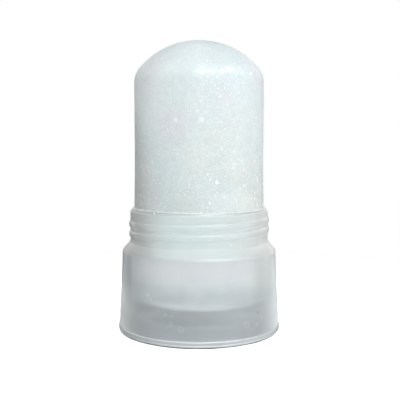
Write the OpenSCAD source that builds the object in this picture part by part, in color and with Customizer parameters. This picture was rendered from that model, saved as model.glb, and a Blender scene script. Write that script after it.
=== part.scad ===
// Mineral deodorant stick: a domed crystal of alum, held in a moulded plastic holder
// with a screw neck. The axis is Z and the stick stands on z = 0.

/* [Crystal] */
// Radius of the crystal's straight side
crystal_r = 18; // [16:0.1:22]
// Height of the crystal's top above the rim of the neck
crystal_rise = 46.35; // [34:0.1:60]
// Height that the dome would have if its cap ran out to the straight side
dome_rise = 9.6; // [6:0.1:13]
// Radius of the rounding between the dome and the side
dome_edge_r = 6; // [2:0.1:9]
// How much wider the crystal's foot is than its straight side, in radius
foot_flare = 0.2; // [0:0.05:0.6]
// Height above the rim at which the foot's flare has run out
flare_h = 11.7; // [4:0.1:20]
// Radius of the rounding round the crystal's foot
foot_edge_r = 1.2; // [0.6:0.1:2]

/* [Neck] */
// Film of glue between the crystal and the cup, on each side
glue_gap = 0.1; // [0.05:0.05:0.3]
// Wall of the neck and of the cup under it
neck_wall = 1; // [0.8:0.05:1.6]
// Height of the neck above the shoulder
neck_h = 9.2; // [8:0.05:12]
// Height of the lead-in that narrows the neck's outside at the rim
lead_in_h = 1.8; // [0.6:0.1:2.2]
// How much the lead-in narrows the neck at the rim, in radius
lead_in_depth = 0.6; // [0.2:0.05:0.65]
// Radius of the rounding on the edges of the rim, the skirt and the flange
lip_edge_r = 0.15; // [0.1:0.01:0.2]

/* [Screw thread] */
// Rise of the thread in one turn
thread_pitch = 2.7; // [2.2:0.1:3.2]
// Length of the thread, in turns
thread_turns = 1.8; // [1:0.05:2]
// Height of the ridge above the neck
thread_h = 0.38; // [0.2:0.02:0.8]
// Width of the ridge at its root
thread_w = 1.9; // [1.2:0.1:2]
// Distance from the rim down to the top end of the ridge
thread_drop = 1.85; // [1.8:0.05:2.6]
// Angle at which the ridge's top end lies, from the right side round to the back
thread_end_angle = 40; // [0:5:360]

/* [Cup] */
// Depth of the cup, from the rim to its floor
cup_depth = 24.8; // [20:0.1:26]
// Thickness of the cup's floor
cup_floor_t = 1; // [0.8:0.05:1.5]
// Radius of the rounding round the outside of the cup's floor
cup_edge_r = 1.8; // [1:0.1:2.4]

/* [Skirt] */
// Height of the skirt's side, from its lower edge to the shoulder's corner
skirt_h = 20.8; // [19:0.05:26]
// Wall of the skirt and the shoulder
skirt_wall = 1.1; // [0.9:0.05:1.3]
// How much wider the skirt is at its foot than at its top, in radius
skirt_flare = 1.08; // [0:0.02:2]
// How far the shoulder steps out from the neck
shoulder_out = 2.2; // [2:0.1:4]
// Height of the sloping shoulder
shoulder_h = 2.4; // [1.6:0.1:3.2]
// Radius of the rounding at the shoulder's outer corner
shoulder_edge_r = 1.8; // [1.2:0.1:2.4]
// Radius of the fillet where the shoulder meets the neck
shoulder_fillet_r = 0.9; // [0.2:0.1:1]

/* [Base plug] */
// Height of the flange that the skirt stands on
flange_h = 1.9; // [1.6:0.1:2.6]
// How far the flange stands out from the skirt, in radius
flange_out = 0.2; // [0:0.05:0.5]
// Radius of the rounding at the flange's lower corner
flange_edge_r = 0.8; // [0.4:0.1:1]
// Thickness of the plug's disc
disc_t = 1.1; // [0.8:0.1:1.4]
// Width of the flat ring that the stick stands on
foot_ring_w = 2; // [1:0.1:3]
// Height of the spigot that goes up inside the skirt
spigot_h = 3.4; // [2:0.1:4]
// Wall of the spigot
spigot_wall = 1; // [0.8:0.1:1.4]
// Clearance between the spigot and the skirt, on each side
plug_gap = 0.05; // [0.02:0.01:0.15]

/* [Smoothness] */
// Facets round a full turn
round_fn = 160; // [64:8:240]

/* [Hidden] */
$fn = round_fn;

crystal_tint = [0.90, 0.94, 0.94];
holder_tint = [0.84, 0.88, 0.90, 0.75];
plug_tint = [0.78, 0.81, 0.84, 0.85];

// Heights, from the surface that the stick stands on
skirt_z = flange_h;
shoulder_z = skirt_z + skirt_h;
neck_z = shoulder_z + shoulder_h;
rim_z = neck_z + neck_h;
cup_z = rim_z - cup_depth;
top_z = rim_z + crystal_rise;

// Radii that follow the crystal outwards
foot_r = crystal_r + foot_flare;
bore_r = foot_r + glue_gap;
neck_r = bore_r + neck_wall;
skirt_top_r = neck_r + shoulder_out;
skirt_foot_r = skirt_top_r + skirt_flare;
flange_r = skirt_foot_r + flange_out;

// The dome is a cap of a sphere, and its rounding touches both the cap and the side
dome_r = (crystal_r * crystal_r + dome_rise * dome_rise) / (2 * dome_rise);
dome_centre_z = top_z - dome_r;
edge_x = crystal_r - dome_edge_r;
edge_z = dome_centre_z + sqrt(pow(dome_r - dome_edge_r, 2) - pow(edge_x, 2));
edge_angle = atan2(edge_z - dome_centre_z, edge_x);

// The ridge is swept in short steps, and it dies away at both ends
thread_step = 6;
thread_fade = 24;
thread_bite = 0.4;
thread_sink = 0.03;
thread_top_z = rim_z - thread_drop - thread_w / 2;

// Radius of the skirt's outside and inside at a height
function skirt_out(z) = skirt_foot_r - skirt_flare * (z - skirt_z) / skirt_h;
function skirt_in(z) = skirt_out(z) - skirt_wall;

// Points along an arc, from one angle to another
function arc(centre, r, from, to, steps = 12) =
    [for (i = [0:steps]) let (a = from + (to - from) * i / steps) centre + r * [cos(a), sin(a)]];

// The corner p between the points a and b, rounded to a radius
function corner(a, p, b, r, steps = 6) =
    let (
        u = (a - p) / norm(a - p),
        v = (b - p) / norm(b - p),
        half = acos(u * v) / 2,
        mid = (u + v) / norm(u + v),
        centre = p + mid * r / sin(half),
        start = p + u * r / tan(half) - centre,
        end = p + v * r / tan(half) - centre,
        from = atan2(start[1], start[0]),
        turn = atan2(end[1], end[0]) - from,
        short = turn > 180 ? turn - 360 : turn < -180 ? turn + 360 : turn
    )
    arc(centre, r, from, from + short, steps);

// An outline whose corners each have a radius; 0 leaves a corner sharp
function rounded(points, radii) =
    let (n = len(points))
    [for (i = [0:n - 1])
        each radii[i] == 0
            ? [points[i]]
            : corner(points[(i + n - 1) % n], points[i], points[(i + 1) % n], radii[i])];

module crystal_outline() {
    foot = [foot_r, cup_z];
    waist = [foot_r, rim_z];
    polygon(concat(
        [[0, cup_z]],
        corner([0, cup_z], foot, waist, foot_edge_r),
        [waist, [crystal_r, rim_z + flare_h]],
        arc([edge_x, edge_z], dome_edge_r, 0, edge_angle),
        arc([0, dome_centre_z], dome_r, edge_angle, 90, 24)
    ));
}

module holder_outline() {
    inner_top_z = shoulder_z - skirt_wall / 2;
    inner_fillet_r = skirt_wall / 3;
    cup_under_z = cup_z - cup_floor_t;
    points = [
        [0, cup_z],
        [bore_r, cup_z],
        [bore_r, rim_z],
        [neck_r - lead_in_depth, rim_z],
        [neck_r, rim_z - lead_in_h],
        [neck_r, neck_z],
        [skirt_top_r, shoulder_z],
        [skirt_foot_r, skirt_z],
        [skirt_in(skirt_z), skirt_z],
        [skirt_in(inner_top_z), inner_top_z],
        [neck_r, inner_top_z],
        [neck_r, cup_under_z],
        [0, cup_under_z]
    ];
    radii = [
        0,
        foot_edge_r,
        lip_edge_r,
        lip_edge_r,
        0,
        shoulder_fillet_r,
        shoulder_edge_r,
        lip_edge_r,
        lip_edge_r,
        inner_fillet_r,
        inner_fillet_r,
        cup_edge_r,
        0
    ];
    polygon(rounded(points, radii));
}

module plug_outline() {
    recess_h = flange_h - disc_t;
    ring_in_r = flange_r - flange_edge_r - foot_ring_w;
    spigot_top = skirt_z + spigot_h;
    spigot_r = skirt_in(skirt_z) - plug_gap;
    tip_r = skirt_in(spigot_top) - plug_gap;
    points = [
        [0, recess_h],
        [ring_in_r - recess_h, recess_h],
        [ring_in_r, 0],
        [flange_r, 0],
        [flange_r, flange_h],
        [spigot_r, flange_h],
        [tip_r, spigot_top],
        [tip_r - spigot_wall, spigot_top],
        [spigot_r - spigot_wall, flange_h],
        [0, flange_h]
    ];
    radii = [0, 0, 0, flange_edge_r, lip_edge_r, 0, lip_edge_r, lip_edge_r, 0, 0];
    polygon(rounded(points, radii));
}

// One section of the ridge, at an angle from its top end: two points inside the neck's
// wall, and a rounded crest between its two roots
function ridge_section(a) =
    let (
        span = thread_turns * 360,
        fade = min(1, a / thread_fade, (span - a) / thread_fade),
        z = thread_top_z - thread_pitch * a / 360,
        crest = [for (u = [-1:0.25:1])
            [neck_r - thread_sink + thread_h * fade * (1 - pow(u, 4)), z + u * thread_w / 2]],
        root_r = neck_r - thread_bite,
        outline = concat([[root_r, z - thread_w / 2]], crest, [[root_r, z + thread_w / 2]]),
        turn = thread_end_angle - a
    )
    [for (p = outline) [p[0] * cos(turn), p[0] * sin(turn), p[1]]];

module thread_ridge() {
    count = ceil(thread_turns * 360 / thread_step);
    rings = [for (i = [0:count]) ridge_section(thread_turns * 360 * i / count)];
    side = len(rings[0]);
    walls = [for (i = [0:count - 1], j = [0:side - 1])
        let (
            a = i * side + j,
            b = i * side + (j + 1) % side
        )
        each [[a, b + side, b], [a, a + side, b + side]]];
    top_cap = [for (j = [1:side - 2]) [0, j, j + 1]];
    last = count * side;
    low_cap = [for (j = [1:side - 2]) [last, last + j + 1, last + j]];
    polyhedron([for (ring = rings) each ring], concat(walls, top_cap, low_cap));
}

module crystal() {
    color(crystal_tint)
        rotate_extrude()
            crystal_outline();
}

module holder() {
    color(holder_tint)
        union() {
            rotate_extrude()
                holder_outline();
            thread_ridge();
        }
}

module base_plug() {
    color(plug_tint)
        rotate_extrude()
            plug_outline();
}

crystal();
holder();
base_plug();
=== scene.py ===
# Mineral deodorant stick: a ground crystal of alum, glued into a translucent holder with a
# screw neck, which stands on a pressed-in foot plug.
import math

import bmesh
import bpy
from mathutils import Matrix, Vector


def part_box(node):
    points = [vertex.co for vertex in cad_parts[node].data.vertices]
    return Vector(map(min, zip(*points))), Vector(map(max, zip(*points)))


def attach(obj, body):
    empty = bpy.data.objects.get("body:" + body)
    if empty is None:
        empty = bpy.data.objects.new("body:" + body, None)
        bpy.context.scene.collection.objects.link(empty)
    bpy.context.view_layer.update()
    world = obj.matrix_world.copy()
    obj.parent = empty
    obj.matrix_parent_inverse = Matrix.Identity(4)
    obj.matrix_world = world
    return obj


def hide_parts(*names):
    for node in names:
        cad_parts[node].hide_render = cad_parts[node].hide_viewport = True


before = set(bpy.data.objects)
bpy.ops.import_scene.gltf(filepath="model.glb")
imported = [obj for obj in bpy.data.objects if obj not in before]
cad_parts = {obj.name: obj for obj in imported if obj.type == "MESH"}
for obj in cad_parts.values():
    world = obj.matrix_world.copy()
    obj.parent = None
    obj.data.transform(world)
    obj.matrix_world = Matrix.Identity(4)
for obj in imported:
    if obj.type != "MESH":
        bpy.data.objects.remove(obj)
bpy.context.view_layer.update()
MM = 0.001


# Holder
# One injection moulding in natural polypropylene, milky and translucent: a neck with a screw
# thread outside and the crystal's cup inside, a shoulder, and a flared skirt that is open
# below for the foot plug.

segments = 320
holder_low, holder_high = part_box("holder")
skirt_z = holder_low.z / MM
rim_z = holder_high.z / MM
neck_h = 9.2
neck_z = rim_z - neck_h
shoulder_h = 2.4
shoulder_z = neck_z - shoulder_h
bore_r = 18.3
neck_r = 19.3
lead_in_h = 1.8
lead_in_depth = 0.6
skirt_top_r = 21.5
skirt_foot_r = 22.58
skirt_wall = 1.1
skirt_h = shoulder_z - skirt_z
skirt_inner_foot_r = skirt_foot_r - skirt_wall
inner_top_z = shoulder_z - skirt_wall / 2
inner_top_r = skirt_top_r - skirt_wall + 0.03
inner_fillet_r = 0.36
cup_depth = 24.8
cup_floor_t = 1
cup_z = rim_z - cup_depth
cup_under_z = cup_z - cup_floor_t
edge_r = 0.15


def skirt_r(z):
    """The skirt's outer radius at a height. It narrows evenly from its foot to the shoulder."""
    return skirt_foot_r - (skirt_foot_r - skirt_top_r) * (z - skirt_z) / skirt_h


class Wire:
    """A node's output, which stands in a sum as a number does."""

    def __init__(self, socket):
        self.socket = socket

    def node(self, kind, settings=None, inputs=None):
        """Adds a node to the same tree, sets it, feeds it and gives back its first output."""
        tree = self.socket.id_data
        new = tree.nodes.new(kind)
        for name, value in (settings or {}).items():
            setattr(new, name, value)
        shown = [socket for socket in new.inputs if socket.enabled]
        for name, value in (inputs or {}).items():
            if isinstance(name, int):
                target = new.inputs[name]
            else:
                target = next(socket for socket in shown if socket.name == name)
            if isinstance(value, Wire):
                tree.links.new(value.socket, target)
            else:
                target.default_value = value
        outputs = [socket for socket in new.outputs if socket.enabled]
        return Wire(outputs[0]) if outputs else None

    def output(self, name):
        """Another output of the same node."""
        return Wire(self.socket.node.outputs[name])

    def maths(self, operation, *others):
        """A Math node on this value and, where it takes more than one, on the others."""
        inputs = dict(enumerate((self, *others)))
        return self.node("ShaderNodeMath", {"operation": operation}, inputs)

    def rise(self, low, high):
        """0 up to the low value, 1 from the high one on, and a soft step between them."""
        ends = {"Value": self, "From Min": low, "From Max": high}
        return self.node("ShaderNodeMapRange", {"interpolation_type": "SMOOTHSTEP"}, ends)

    def axes(self):
        """The three parts of a vector."""
        parts = self.node("ShaderNodeSeparateXYZ", {}, {"Vector": self})
        return parts, parts.output("Y"), parts.output("Z")

    def scaled(self, factor):
        """A vector made longer, or a colour made lighter, by the factor."""
        inputs = {0: self, "Scale": factor}
        return self.node("ShaderNodeVectorMath", {"operation": "SCALE"}, inputs)

    def __add__(self, other):
        return self.maths("ADD", other)

    def __radd__(self, other):
        return self.maths("ADD", other)

    def __sub__(self, other):
        return self.maths("SUBTRACT", other)

    def __rsub__(self, other):
        return self.node("ShaderNodeMath", {"operation": "SUBTRACT"}, {0: other, 1: self})

    def __mul__(self, other):
        return self.maths("MULTIPLY", other)

    def __rmul__(self, other):
        return self.maths("MULTIPLY", other)

    def __neg__(self):
        return self.maths("MULTIPLY", -1)

    def __truediv__(self, other):
        return self.maths("DIVIDE", other)

    def __rtruediv__(self, other):
        return self.node("ShaderNodeMath", {"operation": "DIVIDE"}, {0: other, 1: self})

    def __pow__(self, other):
        return self.maths("POWER", other)


def strongest(wires):
    """The largest of several values."""
    largest, *others = wires
    for wire in others:
        largest = largest.maths("MAXIMUM", wire)
    return largest


def new_tree(name, sizes):
    """A Geometry Nodes tree with named inputs, which come back as wires."""
    tree = bpy.data.node_groups.new(name, "GeometryNodeTree")
    tree.interface.new_socket("Geometry", in_out="OUTPUT", socket_type="NodeSocketGeometry")
    tree.interface.new_socket("Geometry", in_out="INPUT", socket_type="NodeSocketGeometry")
    tree.interface.new_socket("Material", in_out="INPUT", socket_type="NodeSocketMaterial")
    for label, kind in sizes.items():
        tree.interface.new_socket(label, in_out="INPUT", socket_type="NodeSocket" + kind)
    start = tree.nodes.new("NodeGroupInput")
    return {socket.name: Wire(socket) for socket in start.outputs if socket.name}


def end_tree(shape, given):
    """Makes the instances real, gives the material and ends the tree."""
    real = shape.node("GeometryNodeRealizeInstances", {}, {"Geometry": shape})
    inputs = {"Geometry": real, "Material": given["Material"]}
    painted = real.node("GeometryNodeSetMaterial", {}, inputs)
    painted.node("NodeGroupOutput", {}, {"Geometry": painted})
    return shape.socket.id_data


def made(name, mesh, material, steps):
    """Puts a mesh through trees, each with its sizes, and keeps the result as a plain mesh,
    without the empty material slot that it starts with."""
    piece = bpy.data.objects.new(name, mesh)
    for tree, sizes in steps:
        modifier = piece.modifiers.new(tree.name, "NODES")
        modifier.node_group = tree
        values = {"Material": material, **sizes}
        for item in tree.interface.items_tree:
            if item.in_out == "INPUT" and item.name in values:
                modifier[item.identifier] = values[item.name]
    bpy.context.scene.collection.objects.link(piece)
    depsgraph = bpy.context.evaluated_depsgraph_get()
    piece.data = bpy.data.meshes.new_from_object(piece.evaluated_get(depsgraph))
    piece.modifiers.clear()
    piece.data.materials.pop(index=0)
    return piece


def closed(piece):
    """Merges what coincides on a turned piece and points its faces outwards."""
    form = bmesh.new()
    form.from_mesh(piece.data)
    bmesh.ops.remove_doubles(form, verts=form.verts, dist=0.0002 * MM)
    bmesh.ops.recalc_face_normals(form, faces=form.faces)
    form.to_mesh(piece.data)
    form.free()


def half_section(corners):
    """Points of a half section, as a mesh of edges. Each corner has its radius and height, its
    rounding, and the spacing of the rows on the run after it, in millimetres."""
    arc_spacing = 0.12
    points = []
    spacing = 1
    for i, (r, z, rounding, next_spacing) in enumerate(corners):
        here = Vector((r, z))
        arc = [here]
        if rounding:
            before = (Vector(corners[i - 1][:2]) - here).normalized()
            after = (Vector(corners[i + 1][:2]) - here).normalized()
            half = before.angle(after) / 2
            centre = here + (before + after).normalized() * rounding / math.sin(half)
            start = here + before * rounding / math.tan(half) - centre
            end = here + after * rounding / math.tan(half) - centre
            sweep = math.pi - 2 * half
            steps = max(4, round(sweep * rounding / arc_spacing))
            turns = [sweep * k / steps for k in range(steps + 1)]
            arc = [
                centre + (start * math.sin(sweep - a) + end * math.sin(a)) / math.sin(sweep)
                for a in turns
            ]
        if points:
            run = arc[0] - points[-1]
            rows = max(1, round(run.length / spacing))
            points += [points[-1] + run * k / rows for k in range(1, rows)]
        points += arc
        spacing = next_spacing
    mesh = bpy.data.meshes.new("half_section")
    edges = [(k, k + 1) for k in range(len(points) - 1)]
    mesh.from_pydata([(p.x * MM, 0, p.y * MM) for p in points], edges, [])
    return mesh


def turned_form():
    """Turns a half section about the axis: the columns of a grid go round, and its rows follow
    the section."""
    given = new_tree("turned_form", {"Segments": "Int"})
    section = given["Geometry"]
    count = section.node("GeometryNodeAttributeDomainSize", {}, {"Geometry": section})
    grid_size = {
        "Size X": 2 * math.pi,
        "Size Y": 1,
        "Vertices X": given["Segments"] + 1,
        "Vertices Y": count,
    }
    grid = section.node("GeometryNodeMeshGrid", {}, grid_size)
    turn, along, _ = section.node("GeometryNodeInputPosition").axes()
    sample = {
        "Geometry": section,
        "Value": section.node("GeometryNodeInputPosition"),
        "Index": ((along + 0.5) * (count - 1)).maths("ROUND"),
    }
    point = section.node("GeometryNodeSampleIndex", {"data_type": "FLOAT_VECTOR"}, sample)
    r, _, z = point.axes()
    sides = {"X": r * turn.maths("SINE"), "Y": -(r * turn.maths("COSINE")), "Z": z}
    place = r.node("ShaderNodeCombineXYZ", {}, sides)
    moved = grid.node("GeometryNodeSetPosition", {}, {"Geometry": grid, "Position": place})
    inputs = {"Geometry": moved, "Distance": 0.0005 * MM}
    sewn = moved.node("GeometryNodeMergeByDistance", {}, inputs)
    smooth = sewn.node("GeometryNodeSetShadeSmooth", {}, {"Geometry": sewn})
    return end_tree(smooth, given)


def screw_thread():
    """Raises the thread's ridge out of a neck. The ridge starts at its top end and falls as it
    goes round clockwise, seen from above, and it dies away at both ends."""
    kinds = {
        "Neck radius": "Float",
        "Neck skin": "Float",
        "Neck foot": "Float",
        "Top": "Float",
        "Pitch": "Float",
        "Turns": "Float",
        "Height": "Float",
        "Width": "Float",
        "Start": "Float",
        "Fade": "Float",
        "Sink": "Float",
    }
    given = new_tree("screw_thread", kinds)
    x, y, z = given["Geometry"].node("GeometryNodeInputPosition").axes()
    r = (x * x + y * y).maths("SQRT")
    first = (given["Start"] - y.maths("ARCTAN2", x)).maths("FLOORED_MODULO", 2 * math.pi)
    span = given["Turns"] * (2 * math.pi)
    ridges = []
    for turn in range(2):
        run = first + turn * 2 * math.pi
        middle = given["Top"] - given["Pitch"] * run / (2 * math.pi)
        across = (z - middle) / (given["Width"] / 2)
        crest = (1 - across ** 4).maths("MAXIMUM", 0)
        fade = (run / given["Fade"]).maths("MINIMUM", (span - run) / given["Fade"])
        fade = fade.maths("MINIMUM", 1).maths("MAXIMUM", 0)
        ridges.append(given["Height"] * fade * crest)
    crest_r = given["Neck radius"] - given["Sink"] + strongest(ridges)
    outside = r.maths("GREATER_THAN", given["Neck radius"] - given["Neck skin"])
    above = z.maths("GREATER_THAN", given["Neck foot"])
    raised = crest_r.maths("GREATER_THAN", r) * outside * above
    grow = 1 + raised * (crest_r / r - 1)
    place = x.node("ShaderNodeCombineXYZ", {}, {"X": x * grow, "Y": y * grow, "Z": z})
    inputs = {"Geometry": given["Geometry"], "Position": place}
    return end_tree(x.node("GeometryNodeSetPosition", {}, inputs), given)


def moulding_waves():
    """Lets a moulded wall wave gently between two heights, as it does where it shrank."""
    kinds = {
        "Low": "Float",
        "High": "Float",
        "Fade": "Float",
        "Depth": "Float",
        "Size": "Float",
    }
    given = new_tree("moulding_waves", kinds)
    place = given["Geometry"].node("GeometryNodeInputPosition")
    z = place.axes()[2]
    band = z.rise(given["Low"], given["Low"] + given["Fade"])
    band = band * (1 - z.rise(given["High"] - given["Fade"], given["High"]))
    inputs = {"Vector": place, "Scale": 1 / given["Size"], "Detail": 1}
    wave = place.node("ShaderNodeTexNoise", {}, inputs)
    normal = place.node("GeometryNodeInputNormal")
    offset = normal.scaled((wave - 0.5) * band * given["Depth"] * 2)
    moved = {"Geometry": given["Geometry"], "Offset": offset}
    return end_tree(place.node("GeometryNodeSetPosition", {}, moved), given)


def new_material(name):
    """An empty material, and each point's place on its piece, in metres."""
    material = bpy.data.materials.new(name)
    material.use_nodes = True
    material.node_tree.nodes.clear()
    return material, Wire(material.node_tree.nodes.new("ShaderNodeTexCoord").outputs["Object"])


def surfaced(material, place, inputs):
    """Gives the material a Principled surface with these inputs."""
    surface = place.node("ShaderNodeBsdfPrincipled", {}, inputs)
    surface.node("ShaderNodeOutputMaterial", {}, {"Surface": surface})
    return material


def noise(place, size, detail=2.0, roughness=0.5, distortion=0.0):
    """Noise whose features have about the size given, in millimetres."""
    inputs = {
        "Vector": place,
        "Scale": 1 / (size * MM),
        "Detail": detail,
        "Roughness": roughness,
        "Distortion": distortion,
    }
    return place.node("ShaderNodeTexNoise", {}, inputs)


def mixed(factor, low, high):
    """A colour between two colours or wires."""
    inputs = {"Factor": factor, "A": low, "B": high}
    wire = next(value for value in (factor, low, high) if isinstance(value, Wire))
    return wire.node("ShaderNodeMix", {"data_type": "RGBA"}, inputs)


def round_the_axis(place):
    """A point's angle from the front, in degrees and growing to the right, and its height in
    millimetres."""
    x, y, z = place.axes()
    return x.maths("ARCTAN2", -y) * (180 / math.pi), z / MM


def apart(place, angle, height, radius):
    """How far a point lies from a place on a round wall, in millimetres. The place is given by
    its angle from the front, its height and its radius."""
    a = math.radians(angle)
    middle = (radius * math.sin(a) * MM, -radius * math.cos(a) * MM, height * MM)
    ends = {0: place, 1: middle}
    return place.node("ShaderNodeVectorMath", {"operation": "DISTANCE"}, ends).output("Value") / MM


def polypropylene(name, tint, cover=None, gloss=None):
    """Milky moulded plastic with a fine matt grain. Functions of the place on the piece make
    its tint, its cover and its gloss. The cover is how much a face hides of what is behind it,
    and it keeps no light from the inside. The gloss is how much of a smoother coat a face has."""
    material, place = new_material(name)
    relief = {"Height": noise(place, 0.35, 3), "Strength": 0.1, "Distance": 0.02 * MM}
    inputs = {
        "Base Color": tint(place),
        "Roughness": 0.3 + 0.08 * noise(place, 2.5, 2),
        "IOR": 1.49,
        "Specular IOR Level": 0.8,
        "Subsurface Weight": 1.0,
        "Subsurface Radius": (1.0, 1.0, 1.0),
        "Subsurface Scale": 0.6 * MM,
        "Normal": place.node("ShaderNodeBump", {}, relief),
    }
    if cover:
        shadow = place.node("ShaderNodeLightPath").output("Is Shadow Ray")
        inputs["Alpha"] = cover(place) * (1 - shadow)
    if gloss:
        inputs["Coat Weight"] = gloss(place)
        inputs["Coat Roughness"] = 0.2
    return surfaced(material, place, inputs)


def inner_side(name, tint, shade=0.0):
    """A wall's inner side. It is opaque from its front, and clear when seen from inside the
    plastic. The shade is how much of the lamps' light it keeps from what is behind it."""
    material, place = new_material(name)
    material.use_backface_culling = True
    clear = place.node("ShaderNodeNewGeometry").output("Backfacing")
    shadow = place.node("ShaderNodeLightPath").output("Is Shadow Ray")
    hidden = 1 - clear
    inputs = {
        "Base Color": tint(place),
        "Roughness": 0.4,
        "Alpha": hidden + (shade - hidden) * shadow,
        "Specular IOR Level": 0.0,
        "Subsurface Weight": 1.0,
        "Subsurface Radius": (1.0, 1.0, 1.0),
        "Subsurface Scale": 0.3 * MM,
    }
    return surfaced(material, place, inputs)


# Each drop has its angle from the front, its height and its radius, and the dark speck has its
# distance from the axis instead of the radius.
dried_drops = [
    (-11.8, 5.0, 0.65),
    (-18.7, 6.3, 0.5),
    (-22.8, 8.4, 0.35),
    (-18.0, 8.3, 0.3),
    (42.9, 5.0, 0.45),
    (33.3, 5.5, 0.8),
    (-49.2, 4.6, 0.6),
    (-37.0, 13.0, 0.4),
    (-34.5, 12.1, 0.3),
    (-19.3, 29.1, 0.05),
    (-14.9, 32.5, 0.05),
    (25.1, 26.0, 0.08),
    (34.4, 25.1, 0.05),
]
dark_speck = (44.1, 8.1, 22.3)


def drop_marks(place):
    """Where drops of water have dried on the outside, strongest on their rings."""
    wobble = (noise(place, 0.8, 2) - 0.5) * 0.4
    marks = []
    for angle, height, size in dried_drops:
        wall_r = neck_r if height > neck_z else skirt_r(height)
        from_middle = apart(place, angle, height, wall_r) + wobble
        from_edge = (from_middle - size).maths("ABSOLUTE")
        ring = (1 - from_edge.rise(0.05, 0.3)) * 0.4125
        marks.append(ring + (1 - from_middle.rise(0.1 * size, 0.8 * size)) * 0.3)
    return strongest(marks)


def skin_cover(place):
    """The skirt is the milkier, and the thin neck shows more of the alum behind it. Seen at a
    slant, both hide more, because the way through the wall is longer."""
    z = place.axes()[2] / MM
    inside = place.node("ShaderNodeNewGeometry").output("Backfacing")
    slant = place.node("ShaderNodeLayerWeight", {}, {"Blend": 0.5}).output("Facing")
    front = 0.35 + 0.11 * z.rise(cup_under_z - 4, cup_under_z)
    front = front - 0.06 * z.rise(shoulder_z - 0.3, shoulder_z + 0.3)
    front = front + (1 - front) * slant.rise(0.3, 0.85) * 0.9
    front = front + (1 - front) * 0.15 * drop_marks(place)
    return front + (0.6 - front) * inside


def skin_tint(place):
    """Neutral on the neck and shoulder, and bluer on the skirt. Painted shade makes the neck and
    the upper skirt a little darker at the left, and painted light makes them lighter at the right,
    the lower skirt lighter at both sides and the rim's lip lighter. Drops have dried on it as faint
    white rings, and one speck is dark."""
    angle, z = round_the_axis(place)
    cloud = noise(place, 9, 3).rise(0.3, 0.7) * 0.5 + noise(place, 0.3, 2).rise(0.3, 0.7) * 0.5
    skirt = mixed(cloud, (0.785, 0.845, 0.87, 1), (0.815, 0.875, 0.90, 1))
    neck = mixed(cloud, (0.82, 0.825, 0.82, 1), (0.85, 0.855, 0.85, 1))
    tint = mixed(z.rise(shoulder_z - 0.7, shoulder_z + 0.5), skirt, neck)
    # Painted light and shade: the neck and the skirt's upper part darker at the left and lighter at
    # the right, and the skirt's lower part lighter at both sides.
    sides = 0.08 * angle.rise(20, 45) - 0.09 * (1 - angle.rise(-40, -12))
    edges = 1 - angle.rise(-52, -36) + 0.5 * angle.rise(38, 50)
    level = 1 + sides * z.rise(cup_z + 2.5, cup_z + 6.5)
    level = level + 0.07 * edges * (1 - z.rise(cup_z - 0.5, cup_z + 2.5))
    # Painted light: the rim's lip lighter, in patches, where it would otherwise show as a dark
    # line.
    painted_lip_light = z.rise(rim_z - 0.4, rim_z - 0.1) * (0.4 + 0.6 * noise(place, 3, 2).rise(0.3, 0.6))
    tint = mixed(painted_lip_light, tint.scaled(level), (0.91, 0.94, 0.93, 1))
    tint = mixed(drop_marks(place), tint, (0.97, 1.0, 1.0, 1))
    speck = 1 - apart(place, *dark_speck).rise(0.12, 0.3)
    return mixed(speck * 0.8, tint, (0.2, 0.2, 0.2, 1))


def ridge_gloss(place):
    """The upper flanks of the thread's ridge are rubbed smooth in front, where the cap slides
    on them. The higher turn is smooth further round than the lower one."""
    angle, z = round_the_axis(place)
    smooth = 0
    for below_rim, height, reach in ((3.6, 1.1, 28), (6.3, 1.0, 12)):
        foot = rim_z - below_rim
        top = foot + height
        flank = z.rise(foot, foot + 0.2) * (1 - z.rise(top, top + 0.2))
        smooth = smooth + flank * (1 - angle.rise(reach, reach + 10))
    return smooth * angle.rise(-12, 0) * noise(place, 1.5, 3, 0.7).rise(0.3, 0.6) * 0.9


def cup_tint(place):
    """The glued cup, in painted light: lightest near the shoulder, where light comes down through
    the alum, and lighter again in front at its foot, with a mottled grey band between.
    """
    z = place.axes()[2] / MM
    mottle = noise(place, 3, 3, 0.6).rise(0.35, 0.65)
    band = mixed(mottle, (0.44, 0.50, 0.51, 1), (0.62, 0.67, 0.68, 1))
    # Painted light: the cup lightest near the shoulder, where light comes down through the alum.
    wall = mixed(z.rise(cup_z + 1.5, cup_z + 9.5), band, (0.95, 0.985, 0.99, 1))
    ragged = z + (noise(place, 2.2, 3) - 0.5) * 3
    # Painted light: a lighter patch in front at the cup's foot.
    lighter = 1 - apart(place, -2, cup_under_z, neck_r).rise(4, 17)
    end = mixed(lighter, (0.50, 0.55, 0.56, 1), (0.78, 0.83, 0.84, 1))
    return mixed(ragged.rise(cup_z + 0.3, cup_z + 2.5), end, wall)


def hollow_tint(place):
    """The inside of the skirt, which light hardly reaches."""
    z = place.axes()[2] / MM
    cloud = noise(place, 7, 2).rise(0.3, 0.7)
    dim = mixed(cloud, (0.37, 0.395, 0.415, 1), (0.41, 0.435, 0.45, 1))
    return mixed(z.rise(cup_under_z - 0.5, cup_z + 1.5), dim, (0.25, 0.265, 0.275, 1))


def glue_tint(place):
    """Glue that fills the narrow gap round the alum."""
    return mixed(noise(place, 4, 2), (0.78, 0.85, 0.85, 1), (0.82, 0.88, 0.87, 1))


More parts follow.
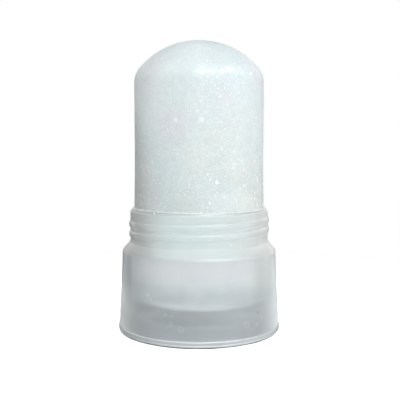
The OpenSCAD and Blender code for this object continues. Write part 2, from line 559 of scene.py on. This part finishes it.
holder_section = half_section([
    (0, cup_z, 0, 3),
    (bore_r, cup_z, 1.2, 1.5),
    (bore_r, rim_z, edge_r, 0.3),
    (neck_r - lead_in_depth, rim_z, edge_r, 0.15),
    (neck_r, rim_z - lead_in_h, 0.5, 0.1),
    (neck_r, neck_z, 0.9, 0.2),
    (skirt_top_r, shoulder_z, 1.8, 0.6),
    (skirt_foot_r, skirt_z, edge_r, 0.2),
    (skirt_inner_foot_r, skirt_z, edge_r, 1.5),
    (inner_top_r, inner_top_z, inner_fillet_r, 0.4),
    (neck_r, inner_top_z, inner_fillet_r, 1.5),
    (neck_r, cup_under_z, 1.8, 1),
    (0, cup_under_z, 0, 1),
])
thread = {
    "Neck radius": neck_r * MM,
    "Neck skin": 0.4 * MM,
    "Neck foot": neck_z * MM,
    "Top": (rim_z - 2.8) * MM,
    "Pitch": 2.7 * MM,
    "Turns": 1.8,
    "Height": 0.38 * MM,
    "Width": 1.9 * MM,
    "Start": math.radians(40),
    "Fade": math.radians(24),
    "Sink": 0.03 * MM,
}
skirt_waves = {
    "Low": (skirt_z + 1) * MM,
    "High": shoulder_z * MM,
    "Fade": 1.5 * MM,
    "Depth": 0.012 * MM,
    "Size": 6 * MM,
}
skin = polypropylene("natural_polypropylene", skin_tint, skin_cover, ridge_gloss)
hollow_side = inner_side("hollow_side", hollow_tint)
cup_side = inner_side("cup_side", cup_tint)
glued_side = inner_side("glued_side", glue_tint, 0.26)
turning = turned_form()
waving = moulding_waves()
holder_steps = [
    (turning, {"Segments": segments}),
    (screw_thread(), thread),
    (waving, skirt_waves),
]
holder = made("holder_moulding", holder_section, skin, holder_steps)
closed(holder)
for finish in (hollow_side, cup_side, glued_side):
    holder.data.materials.append(finish)
outside, in_skirt, round_cup, in_cup = range(4)
near = 0.05
in_wall = 0.3
for face in holder.data.polygons:
    r = math.hypot(face.center.x, face.center.y) / MM
    z = face.center.z / MM
    if z > inner_top_z + near:
        glued = r < bore_r + 2 * near and z < rim_z - near
        face.material_index = in_cup if glued else outside
    elif r > skirt_r(z) - skirt_wall / 2:
        face.material_index = outside
    elif r > neck_r + inner_fillet_r + near:
        face.material_index = in_skirt
    elif r > bore_r + in_wall or z < cup_z - in_wall:
        face.material_index = round_cup
    else:
        face.material_index = in_cup
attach(holder, "root")
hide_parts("holder")


# Crystal
# One stick of potassium alum, cast, then ground and wetted smooth. It is milky with fine white
# grains, and glued into the holder's cup. Its right side is chipped above the neck.

crystal_low, crystal_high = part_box("crystal")
foot_z = crystal_low.z / MM
top_z = crystal_high.z / MM
stick_r = 18.0
foot_r = 18.2
foot_edge_r = 1.2
flare_z = rim_z + 11.7
dome_rise = 9.6
dome_edge_r = 6.0
dome_r = (stick_r ** 2 + dome_rise ** 2) / (2 * dome_rise)
dome_centre_z = top_z - dome_r
edge_x = stick_r - dome_edge_r
edge_z = dome_centre_z + math.sqrt((dome_r - dome_edge_r) ** 2 - edge_x ** 2)
edge_angle = math.atan2(edge_z - dome_centre_z, edge_x)
round_rows = 20
dome_rows = 52

# Each fleck, painted glint, blot and chipped spot has its angle from the front, its height and its
# size. The last three in the first list are painted glints on the dome's edge, not flecks.
flecks_and_glints = [
    (2.1, 58.3, 0.75),
    (-19.3, 58.2, 0.7),
    (15.1, 42.3, 0.7),
    (9.0, 37.0, 0.5),
    # Painted highlights: white glints on the dome's edge, right of the front.
    (25.5, 71.4, 1.0),
    (28.5, 71.4, 1.0),
    (50.0, 70.6, 0.8),
]
lavender_blots = [(-22.6, 57.0, 7), (-50, 73.5, 7), (22, 64, 4), (62, 71, 7)]
chipped_spots = [(61, 49.2, 4), (70, 43, 5), (70, 36.5, 5), (58, 38, 4)]
seam_angle = -8.65


def ground_alum():
    """Wears a turned stick: shallow hollows from the grinding, and chips in one patch."""
    kinds = {
        "Wear": "Float",
        "Wear size": "Float",
        "Rim": "Float",
        "Chip depth": "Float",
        "Chip size": "Float",
        "Chip angle": "Float",
        "Chip spread": "Float",
        "Chip top": "Float",
        "Chip fade": "Float",
        "Chip stretch": "Float",
    }
    given = new_tree("ground_alum", kinds)
    place = given["Geometry"].node("GeometryNodeInputPosition")
    x, y, z = place.axes()
    shown = z.rise(given["Rim"] - 0.5 * MM, given["Rim"] + 1 * MM)
    inputs = {"Vector": place, "Scale": 1 / given["Wear size"], "Detail": 2}
    hollow = place.node("ShaderNodeTexNoise", {}, inputs)
    wear = hollow * given["Wear"] * shown
    aside = (x.maths("ARCTAN2", -y) - given["Chip angle"]).maths("ABSOLUTE")
    chipped = 1 - aside.rise(0.25 * given["Chip spread"], given["Chip spread"])
    below = 1 - z.rise(given["Chip top"] - given["Chip fade"], given["Chip top"])
    chipped = chipped * below * shown
    sides = {"X": x, "Y": y, "Z": z * given["Chip stretch"]}
    stretched = x.node("ShaderNodeCombineXYZ", {}, sides)
    inputs = {"Vector": stretched, "Scale": 1 / given["Chip size"]}
    cells = place.node("ShaderNodeTexVoronoi", {}, inputs)
    inputs = {"Vector": stretched, "Scale": 1.3 / given["Chip size"], "Detail": 3}
    rough = place.node("ShaderNodeTexNoise", {}, inputs)
    chips = cells.rise(0.2, 0.75) * rough.rise(0.42, 0.62) * chipped * given["Chip depth"]
    offset = place.node("GeometryNodeInputNormal").scaled(-(wear + chips))
    moved = {"Geometry": given["Geometry"], "Offset": offset}
    return end_tree(place.node("GeometryNodeSetPosition", {}, moved), given)


def specks(place, size, share):
    """Round spots of uneven strength, one to a cell of the size given, with most cells empty."""
    cell = size * MM
    inputs = {"Vector": place, "Scale": 2.2 / cell, "Detail": 1}
    warp = place.node("ShaderNodeTexNoise", {}, inputs).output("Color").scaled(0.6 * cell)
    warped = place.node("ShaderNodeVectorMath", {"operation": "ADD"}, {0: place, 1: warp})
    cells = place.node("ShaderNodeTexVoronoi", {}, {"Vector": warped, "Scale": 1 / cell})
    chance = cells.output("Color").axes()[0]
    return (1 - cells.rise(0.14, 0.34)) * chance.rise(1 - share, 1.0)


def patch(place, angle, height, size):
    """A soft patch about a place on the stick's side, by its angle from the front and height."""
    return 1 - apart(place, angle, height, stick_r).rise(0.2 * size, size)


def clouded(place, angle, height):
    """The alum's colour: green, blue and lavender clouds and fine grit, with painted light and
    shade:
    a lighter upper left, a darker and greyer lower left, the stick lighter higher up, and the
    right of the front a little darker."""
    cloud = noise(place, 11, 2).rise(0.35, 0.65)
    tint = mixed(cloud, (0.77, 0.87, 0.875, 1), (0.805, 0.875, 0.855, 1))
    tint = mixed(height.rise(50, 72) * 0.8, tint, (0.785, 0.895, 0.925, 1))
    # Painted light: the upper left of the stick lighter.
    left = (1 - angle.rise(-50, -5)) * height.rise(48, 62) * (1 - height.rise(71, 76))
    tint = mixed(left * 0.9, tint, (0.89, 1.0, 1.0, 1))
    faint = noise(place, 9, 2, distortion=0.6).rise(0.52, 0.72) * 0.35
    blots = [patch(place, *blot) * (0.5 + noise(place, 2.5, 2)) for blot in lavender_blots]
    tint = mixed(strongest([faint, *blots]) * 0.7, tint, (0.82, 0.84, 0.885, 1))
    warm = (1 - height.rise(37, 52)) * (angle - 4).maths("ABSOLUTE").rise(28, 60)
    tint = mixed(warm * 0.6, tint, (0.80, 0.825, 0.805, 1))
    # Painted shade: the lower left darker and greyer, with a ragged edge. The mask named clear is
    # this shade.
    mottle = (noise(place, 1.6, 3, 0.65) - 0.5) * 22
    clear = 1 - (angle + mottle + (height - rim_z) * 0.35).rise(-62, -38)
    clear = clear * angle.rise(-125, -85) * (1 - height.rise(50, 66))
    tint = mixed(clear * 0.85, tint, (0.69, 0.73, 0.73, 1))
    grit = noise(place, 0.55, 3, 0.75).rise(0.3, 0.7) * 0.09
    grit = grit + noise(place, 1.8, 2).rise(0.3, 0.7) * 0.04
    # Painted light and shade: the stick lighter higher up, and a little darker right of the front,
    # above the neck.
    level = 0.895 + 0.075 * height.rise(36, 50) + 0.02 * height.rise(50, 66)
    level = level - 0.08 * angle.rise(-4, 20) * (1 - angle.rise(45, 70)) * height.rise(36, 44)
    return tint.scaled((0.935 + grit) * level)


def white_marks(place, angle, height, chipped):
    """Dust and grains all over, a faint seam down the front, larger flecks, painted glints on the
    dome's edge, and short white dashes, which are painted glints, where the surface is chipped."""
    dust_and_shade = noise(place, 0.45, 3, 0.7).rise(0.52, 0.74)
    fine = specks(place, 0.62, 0.6) + specks(place, 0.85, 0.3)
    crowd = 0.35 + 0.65 * noise(place, 5, 2).rise(0.38, 0.62)
    white = (dust_and_shade * 0.6 + fine * 1.5) * crowd + specks(place, 1.5, 0.12) * 0.6
    line = (angle - seam_angle).maths("ABSOLUTE")
    seam = (1 - line.rise(0.15, 0.6)) * noise(place, 1.5, 2).rise(0.35, 0.6)
    white = white + seam * height.rise(33, 40) * (1 - height.rise(66, 72)) * 0.4
    ragged = (noise(place, 0.5, 3) - 0.5) * 1.1
    # Real flecks, and painted glints on the dome's edge.
    for *where, size in flecks_and_glints:
        fleck_and_glint = 1 - (apart(place, *where, stick_r) + ragged).rise(0.5 * size, size)
        white = white + fleck_and_glint * 0.8
    sides = {0: place, 1: (1, 1, 0.35)}
    stretched = place.node("ShaderNodeVectorMath", {"operation": "MULTIPLY"}, sides)
    dashes = specks(stretched, 0.8, 0.6)
    # Painted glints: white dashes on the chipped facets.
    for spot in chipped:
        white = white + dashes * spot * 2.5
    return white


def milky_alum():
    """Translucent mineral, full of fine white grains. Its side is matt, and it is polished only
    on the edge of the dome, in front."""
    material, place = new_material("milky_alum")
    angle, height = round_the_axis(place)
    chipped = [patch(place, *spot) for spot in chipped_spots]
    # Painted shade: darker mottles in the hollows of the chipped patch.
    painted_chip_shade = strongest(chipped) * noise(place, 0.7, 2, 0.7).rise(0.45, 0.6)
    tint = mixed(painted_chip_shade * 0.35, clouded(place, angle, height), (0.55, 0.58, 0.57, 1))
    white = white_marks(place, angle, height, chipped).maths("MINIMUM", 0.9)
    bumps = noise(place, 0.45, 4, 0.6) + specks(place, 0.95, 0.5)
    relief = {
        "Height": bumps * (1 - 0.75 * height.rise(72, 78)),
        "Strength": 0.35,
        "Distance": 0.06 * MM,
    }
    polish = noise(place, 0.8, 3, 0.8).rise(0.5, 0.57) * 0.85
    polish = polish * height.rise(69.4, 70.4) * (1 - height.rise(72, 73.5))
    polish = polish * angle.rise(-10, -2) * (1 - angle.rise(22, 34))
    inputs = {
        "Base Color": mixed(white, tint, (0.97, 1.0, 1.0, 1)),
        "Roughness": 0.4 + 0.2 * noise(place, 1.2, 2) + 0.3 * (1 - height.rise(58, 66)),
        "IOR": 1.456,
        "Specular IOR Level": 0.35,
        "Coat Weight": polish,
        "Coat Roughness": 0.15,
        "Subsurface Weight": 0.5,
        "Subsurface Radius": (1.0, 1.0, 1.0),
        "Subsurface Scale": 1.2 * MM,
        "Normal": place.node("ShaderNodeBump", {}, relief),
    }
    return surfaced(material, place, inputs)


crystal_corners = [
    (0, foot_z, 0, 3),
    (foot_r, foot_z, foot_edge_r, 1.2),
    (foot_r, rim_z, 0, 0.35),
    (stick_r, flare_z, 0, 0.35),
]
for k in range(round_rows + 1):
    a = edge_angle * k / round_rows
    r = edge_x + dome_edge_r * math.cos(a)
    crystal_corners.append((r, edge_z + dome_edge_r * math.sin(a), 0, 1))
for k in range(1, dome_rows + 1):
    a = edge_angle + (math.pi / 2 - edge_angle) * k / dome_rows
    r = dome_r * math.cos(a) if k < dome_rows else 0
    crystal_corners.append((r, dome_centre_z + dome_r * math.sin(a), 0, 1))
wear = {
    "Wear": 0.08 * MM,
    "Wear size": 3.5 * MM,
    "Rim": rim_z * MM,
    "Chip depth": 0.4 * MM,
    "Chip size": 1.1 * MM,
    "Chip angle": math.radians(68),
    "Chip spread": math.radians(26),
    "Chip top": 52 * MM,
    "Chip fade": 8 * MM,
    "Chip stretch": 0.55,
}
crystal_steps = [(turning, {"Segments": segments}), (ground_alum(), wear)]
crystal = made("alum_stick", half_section(crystal_corners), milky_alum(), crystal_steps)
closed(crystal)
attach(crystal, "root")
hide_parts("crystal")


# Grains
# Larger white grains in the alum, which catch the light at its ground surface, and the bead of
# glue that seals the alum to the neck's rim, with crumbs of alum caught in it.

def scattered_grains():
    """Sets faceted grains into a surface at random, most of them small."""
    kinds = {
        "Density": "Float",
        "Patches per metre": "Float",
        "Smallest": "Float",
        "Largest": "Float",
        "From": "Float",
        "To": "Float",
        "Seed": "Int",
    }
    given = new_tree("scattered_grains", kinds)
    place = given["Geometry"].node("GeometryNodeInputPosition")
    z = place.axes()[2]
    band = z.maths("GREATER_THAN", given["From"]) * z.maths("LESS_THAN", given["To"])
    inputs = {"Vector": place, "Scale": given["Patches per metre"], "Detail": 1}
    patchy = place.node("ShaderNodeTexNoise", {}, inputs)
    inputs = {
        "Mesh": given["Geometry"],
        "Density": given["Density"] * band * patchy.rise(0.3, 0.7),
        "Seed": given["Seed"],
    }
    points = place.node("GeometryNodeDistributePointsOnFaces", {}, inputs)
    draw = {2: 0.0, 3: 1.0, 8: given["Seed"]}
    chance = place.node("FunctionNodeRandomValue", {"data_type": "FLOAT"}, draw)
    size = given["Smallest"] + (given["Largest"] - given["Smallest"]) * chance ** 5
    flat = {"X": size, "Y": size, "Z": size * 0.35}
    inputs = {
        "Points": points,
        "Instance": place.node("GeometryNodeMeshIcoSphere", {}, {"Radius": 0.5, "Subdivisions": 1}),
        "Rotation": points.output("Rotation"),
        "Scale": place.node("ShaderNodeCombineXYZ", {}, flat),
    }
    return end_tree(place.node("GeometryNodeInstanceOnPoints", {}, inputs), given)


def rim_crumbs():
    """Lays crumbs round a ring, thick in some stretches and missing in others, and one big
    crumb on each point of the mesh that it is given."""
    kinds = {
        "Ring": "Float",
        "Height": "Float",
        "Spread": "Float",
        "Count": "Int",
        "Patches per metre": "Float",
        "Thick from": "Float",
        "Thick to": "Float",
        "Smallest": "Float",
        "Largest": "Float",
        "Big": "Float",
        "Seed": "Int",
    }
    given = new_tree("rim_crumbs", kinds)
    inputs = {"Resolution": given["Count"], "Radius": given["Ring"]}
    ring = given["Count"].node("GeometryNodeCurvePrimitiveCircle", {}, inputs)
    points = ring.node("GeometryNodeCurveToPoints", {"mode": "EVALUATED"}, {"Curve": ring})
    jitter = {0: (-1, -1, -1), 1: (1, 1, 1), 8: given["Seed"]}
    chance = ring.node("FunctionNodeRandomValue", {"data_type": "FLOAT_VECTOR"}, jitter)
    lift = ring.node("ShaderNodeCombineXYZ", {}, {"Z": given["Height"]})
    ends = {0: chance.scaled(given["Spread"]), 1: lift}
    offset = ring.node("ShaderNodeVectorMath", {"operation": "ADD"}, ends)
    laid = ring.node("GeometryNodeSetPosition", {}, {"Geometry": points, "Offset": offset})
    place = ring.node("GeometryNodeInputPosition")
    inputs = {"Vector": place, "Scale": given["Patches per metre"], "Detail": 2}
    patchy = place.node("ShaderNodeTexNoise", {}, inputs)
    draw = {2: 0.0, 3: 1.0, 8: given["Seed"] + 3}
    chance = ring.node("FunctionNodeRandomValue", {"data_type": "FLOAT"}, draw)
    x, y, _ = place.axes()
    angle = x.maths("ARCTAN2", -y)
    thick = angle.maths("GREATER_THAN", given["Thick from"])
    thick = thick * angle.maths("LESS_THAN", given["Thick to"])
    size = given["Smallest"] + (given["Largest"] - given["Smallest"]) * chance ** 4
    size = size * patchy.rise(0.38, 0.6) * (0.45 + 0.55 * thick)
    any_way = {0: (0, 0, 0), 1: (6.28, 6.28, 6.28), 8: given["Seed"] + 5}
    spin = ring.node("FunctionNodeRandomValue", {"data_type": "FLOAT_VECTOR"}, any_way)
    crumb = ring.node("GeometryNodeMeshIcoSphere", {}, {"Radius": 0.5, "Subdivisions": 1})
    inputs = {"Points": laid, "Instance": crumb, "Rotation": spin, "Scale": size}
    crumbs = ring.node("GeometryNodeInstanceOnPoints", {}, inputs)
    inputs = {
        "Points": ring.node("GeometryNodeMeshToPoints", {}, {"Mesh": given["Geometry"]}),
        "Instance": crumb,
        "Rotation": spin,
        "Scale": given["Big"] * (0.6 + 0.4 * chance),
    }
    big = ring.node("GeometryNodeInstanceOnPoints", {}, inputs)
    joined = ring.node("GeometryNodeJoinGeometry", {}, {"Geometry": crumbs})
    big.socket.id_data.links.new(big.socket, joined.socket.node.inputs["Geometry"])
    return end_tree(joined, given)


def white_alum():
    """Alum without water in it: opaque, white and slightly glossy."""
    material, place = new_material("white_alum")
    tint = mixed(noise(place, 1.5, 2), (0.86, 0.95, 0.97, 1), (0.91, 0.98, 1.0, 1))
    return surfaced(material, place, {"Base Color": tint, "Roughness": 0.3, "IOR": 1.456})


def cloudy_glue():
    """The bead of glue round the alum at the rim, whitened by the alum's dust."""
    material, place = new_material("cloudy_glue")
    dusty = noise(place, 0.9, 3, 0.7).rise(0.4, 0.62)
    tint = mixed(dusty, (0.70, 0.755, 0.75, 1), (0.86, 0.91, 0.91, 1))
    return surfaced(material, place, {"Base Color": tint, "Roughness": 0.35, "IOR": 1.45})


dry_alum = white_alum()
grain_sizes = {
    "Density": 0.26e6,
    "Patches per metre": 140.0,
    "Smallest": 0.12 * MM,
    "Largest": 0.55 * MM,
    "From": (rim_z + 0.3) * MM,
    "To": (top_z - 1.5) * MM,
    "Seed": 7,
}
grain_steps = [(scattered_grains(), grain_sizes)]
grains = made("alum_grains", crystal.data.copy(), dry_alum, grain_steps)
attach(grains, "root")

crumb_sizes = {
    "Ring": bore_r * MM,
    "Height": (rim_z - 0.02) * MM,
    "Spread": 0.12 * MM,
    "Count": 620,
    "Patches per metre": 230.0,
    "Thick from": math.radians(-14),
    "Thick to": math.radians(40),
    "Smallest": 0.08 * MM,
    "Largest": 0.5 * MM,
    "Big": 0.5 * MM,
    "Seed": 11,
}
# Each big crumb has its angle from the front, its height and its distance from the axis.
big_crumbs = [
    (-57.6, 34.5, 18.3),
    (-39.8, 34.5, 18.3),
    (-38.0, 34.0, 19.0),
    (-30.5, 34.5, 18.2),
    (78.4, 34.4, 18.9),
]
big_crumb_places = bpy.data.meshes.new("big_crumb_places")
big_crumb_places.from_pydata([
    (r * math.sin(math.radians(a)) * MM, -r * math.cos(math.radians(a)) * MM, z * MM)
    for a, z, r in big_crumbs
], [], [])
crumbs = made("rim_crumbs", big_crumb_places, dry_alum, [(rim_crumbs(), crumb_sizes)])
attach(crumbs, "root")

bead_section = half_section([
    (bore_r, rim_z - 0.15, 0, 0.1),
    (bore_r + 0.2, rim_z, 0, 0.1),
    (bore_r + 0.16, rim_z + 0.1, 0, 0.1),
    (bore_r - 0.02, rim_z + 0.22, 0, 0.1),
    (bore_r - 0.2, rim_z + 0.3, 0, 0.1),
    (bore_r - 0.2, rim_z - 0.05, 0, 0.1),
    (bore_r, rim_z - 0.15, 0, 0.1),
])
bead_waves = {
    "Low": (rim_z - 1.5) * MM,
    "High": (rim_z + 2) * MM,
    "Fade": 1.5 * MM,
    "Depth": 0.12 * MM,
    "Size": 0.9 * MM,
}
bead_steps = [(turning, {"Segments": segments}), (waving, bead_waves)]
bead = made("rim_glue", bead_section, cloudy_glue(), bead_steps)
closed(bead)
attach(bead, "root")


# Foot plug
# A second moulding in the same plastic, pressed up into the skirt to close it. Its flange
# carries the skirt, and a ring on its underside carries the stick.

plug_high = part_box("base_plug")[1]
flange_r = plug_high.x / MM
flange_h = 1.9
flange_edge_r = 0.8
disc_t = 1.1
foot_ring_w = 2
plug_edge_r = 0.1
ring_in_r = flange_r - flange_edge_r - foot_ring_w
recess_h = flange_h - disc_t
spigot_top = plug_high.z / MM
spigot_gap = 0.05
spigot_wall = 1.0
spigot_r = skirt_inner_foot_r - spigot_gap
tip_r = spigot_r - (skirt_foot_r - skirt_top_r) * (spigot_top - flange_h) / skirt_h


def plug_tint(place):
    """Painted highlights on the flange's thin edges, a dark line of painted shade low down on the
    foot, and painted shade above the flange, as dark as the skirt's inside."""
    angle, z = round_the_axis(place)
    cloud = noise(place, 7, 2).rise(0.3, 0.7)
    flange = mixed(cloud, (0.47, 0.50, 0.52, 1), (0.52, 0.55, 0.565, 1))
    # Painted highlights: light lines on the flange's top and lower edges, strongest in front.
    edges = strongest([z.rise(1.5, 1.75), z.rise(0.6, 0.75) * (1 - z.rise(0.95, 1.15))])
    front = angle.rise(-45, -10) * (1 - angle.rise(20, 50))
    flange = mixed(edges * (0.3 + 0.45 * front), flange, (0.80, 0.84, 0.85, 1))
    # Painted shade: a dark, uneven line low down on the foot's rounded edge, next to the floor.
    dust_and_shade = (1 - z.rise(0.3, 0.55)) * noise(place, 6, 2).rise(0.3, 0.5)
    flange = mixed(dust_and_shade * 0.8, flange, (0.12, 0.13, 0.14, 1))
    # Painted shade: above the flange the plug is as dark as the skirt's inside.
    return mixed(z.rise(flange_h - 0.02, flange_h + 0.05), flange, (0.35, 0.375, 0.39, 1))


plug_section = half_section([
    (0, recess_h, 0, 2),
    (ring_in_r - recess_h, recess_h, plug_edge_r, 0.3),
    (ring_in_r, 0, plug_edge_r, 0.4),
    (flange_r, 0, flange_edge_r, 0.15),
    (flange_r, flange_h, edge_r, 0.3),
    (spigot_r, flange_h, plug_edge_r, 0.4),
    (tip_r, spigot_top, edge_r, 0.2),
    (tip_r - spigot_wall, spigot_top, edge_r, 0.4),
    (spigot_r - spigot_wall, flange_h, plug_edge_r, 2),
    (0, flange_h, 0, 2),
])
plug_plastic = polypropylene("plug_polypropylene", plug_tint)
plug = made("foot_plug", plug_section, plug_plastic, [(turning, {"Segments": segments})])
closed(plug)
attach(plug, "root")
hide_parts("base_plug")


# Studio
# A pale floor under a white sky, six soft lamps that light the stick and a seventh that is only
# mirrored in it, and the camera at the photograph's viewing angle.

def pale_floor():
    """White to the eye and in reflections, and darker only where the stick keeps the light off.
    Far from the stick it glows, so that no edge of the lamps' light shows on it."""
    near_squared = 0.004
    far_squared = 0.02
    material, place = new_material("pale_floor")
    rays = place.node("ShaderNodeLightPath")
    seen = rays.maths("MAXIMUM", rays.output("Is Transmission Ray"))
    tint = mixed(seen, (0.8, 0.8, 0.8, 1), (3.5, 3.5, 3.5, 1))
    paint = place.node("ShaderNodeBsdfDiffuse", {}, {"Color": tint})
    inputs = {"Color": (1, 1, 1, 1), "Strength": seen}
    glow = place.node("ShaderNodeEmission", {}, inputs)
    x, y, _ = place.axes()
    far = (x * x + y * y).rise(near_squared, far_squared)
    ground = place.node("ShaderNodeMixShader", {}, {0: far, 1: paint, 2: glow})
    ground.node("ShaderNodeOutputMaterial", {}, {"Surface": ground})
    return material


def lamp(name, azimuth, height, distance, width, tall, power, only_mirrored=False):
    """A soft lamp that looks at the stick's middle, at these angles in degrees. It either lights
    the stick or is only mirrored in it."""
    light = bpy.data.lights.new(name, "AREA")
    light.shape = "RECTANGLE"
    light.size = width
    light.size_y = tall
    light.energy = power
    lit = bpy.data.objects.new(name, light)
    a = math.radians(azimuth)
    e = math.radians(height)
    away = Vector((math.sin(a) * math.cos(e), -math.cos(a) * math.cos(e), math.sin(e)))
    lit.location = stick_middle + away * distance
    lit.rotation_euler = away.to_track_quat("Z", "Y").to_euler()
    lit.visible_glossy = only_mirrored
    lit.visible_diffuse = not only_mirrored
    bpy.context.scene.collection.objects.link(lit)


stick_middle = Vector((0, 0, 0.05))
reach = 3.0
floor_corners = [(-reach, -reach, 0), (reach, -reach, 0), (reach, reach, 0), (-reach, reach, 0)]
floor_mesh = bpy.data.meshes.new("floor")
floor_mesh.from_pydata(floor_corners, [], [(0, 1, 2, 3)])
floor = bpy.data.objects.new("floor", floor_mesh)
floor.data.materials.append(pale_floor())
bpy.context.scene.collection.objects.link(floor)

lamp("front_lamp", -7, 26, 0.3, 0.18, 0.15, 0.405)
lamp("key_lamp", 31, 8, 0.3, 0.15, 0.15, 0.285)
lamp("right_lamp", 76, 26, 0.22, 0.1, 0.1, 0.185)
lamp("left_lamp", -84, 36, 0.19, 0.08, 0.08, 0.095)
lamp("high_lamp", 18, 42, 0.35, 0.24, 0.03, 0.1)
lamp("back_lamp", 176, 48, 0.35, 0.25, 0.2, 0.2)
lamp("softbox", 22, 34, 0.35, 0.26, 0.07, 1.4, only_mirrored=True)

world = bpy.data.worlds.new("studio")
world.use_nodes = True
world.node_tree.nodes.clear()
rays = Wire(world.node_tree.nodes.new("ShaderNodeLightPath").outputs["Is Camera Ray"])
seen = rays.maths("MAXIMUM", rays.output("Is Transmission Ray"))
ambient = 0.05
in_gloss = 0.6
strength = ambient + (1 - ambient) * seen + (in_gloss - ambient) * rays.output("Is Glossy Ray")
sky = rays.node("ShaderNodeBackground", {}, {"Color": (1, 1, 1, 1), "Strength": strength})
sky.node("ShaderNodeOutputWorld", {}, {"Surface": sky})
bpy.context.scene.world = world
bpy.context.scene.view_settings.view_transform = "Standard"

camera = bpy.data.objects.new("camera", bpy.data.cameras.new("camera"))
camera.data.lens = 63.0
camera.data.sensor_width = 36
camera_pitch = math.radians(4.657)
camera.location = Vector((0.26, -196.77, 52.40)) * MM
camera.rotation_euler = (math.pi / 2 - camera_pitch, 0, 0)
camera.data.clip_start = 0.01
camera.data.clip_end = 20
bpy.context.scene.collection.objects.link(camera)
bpy.context.scene.camera = camera
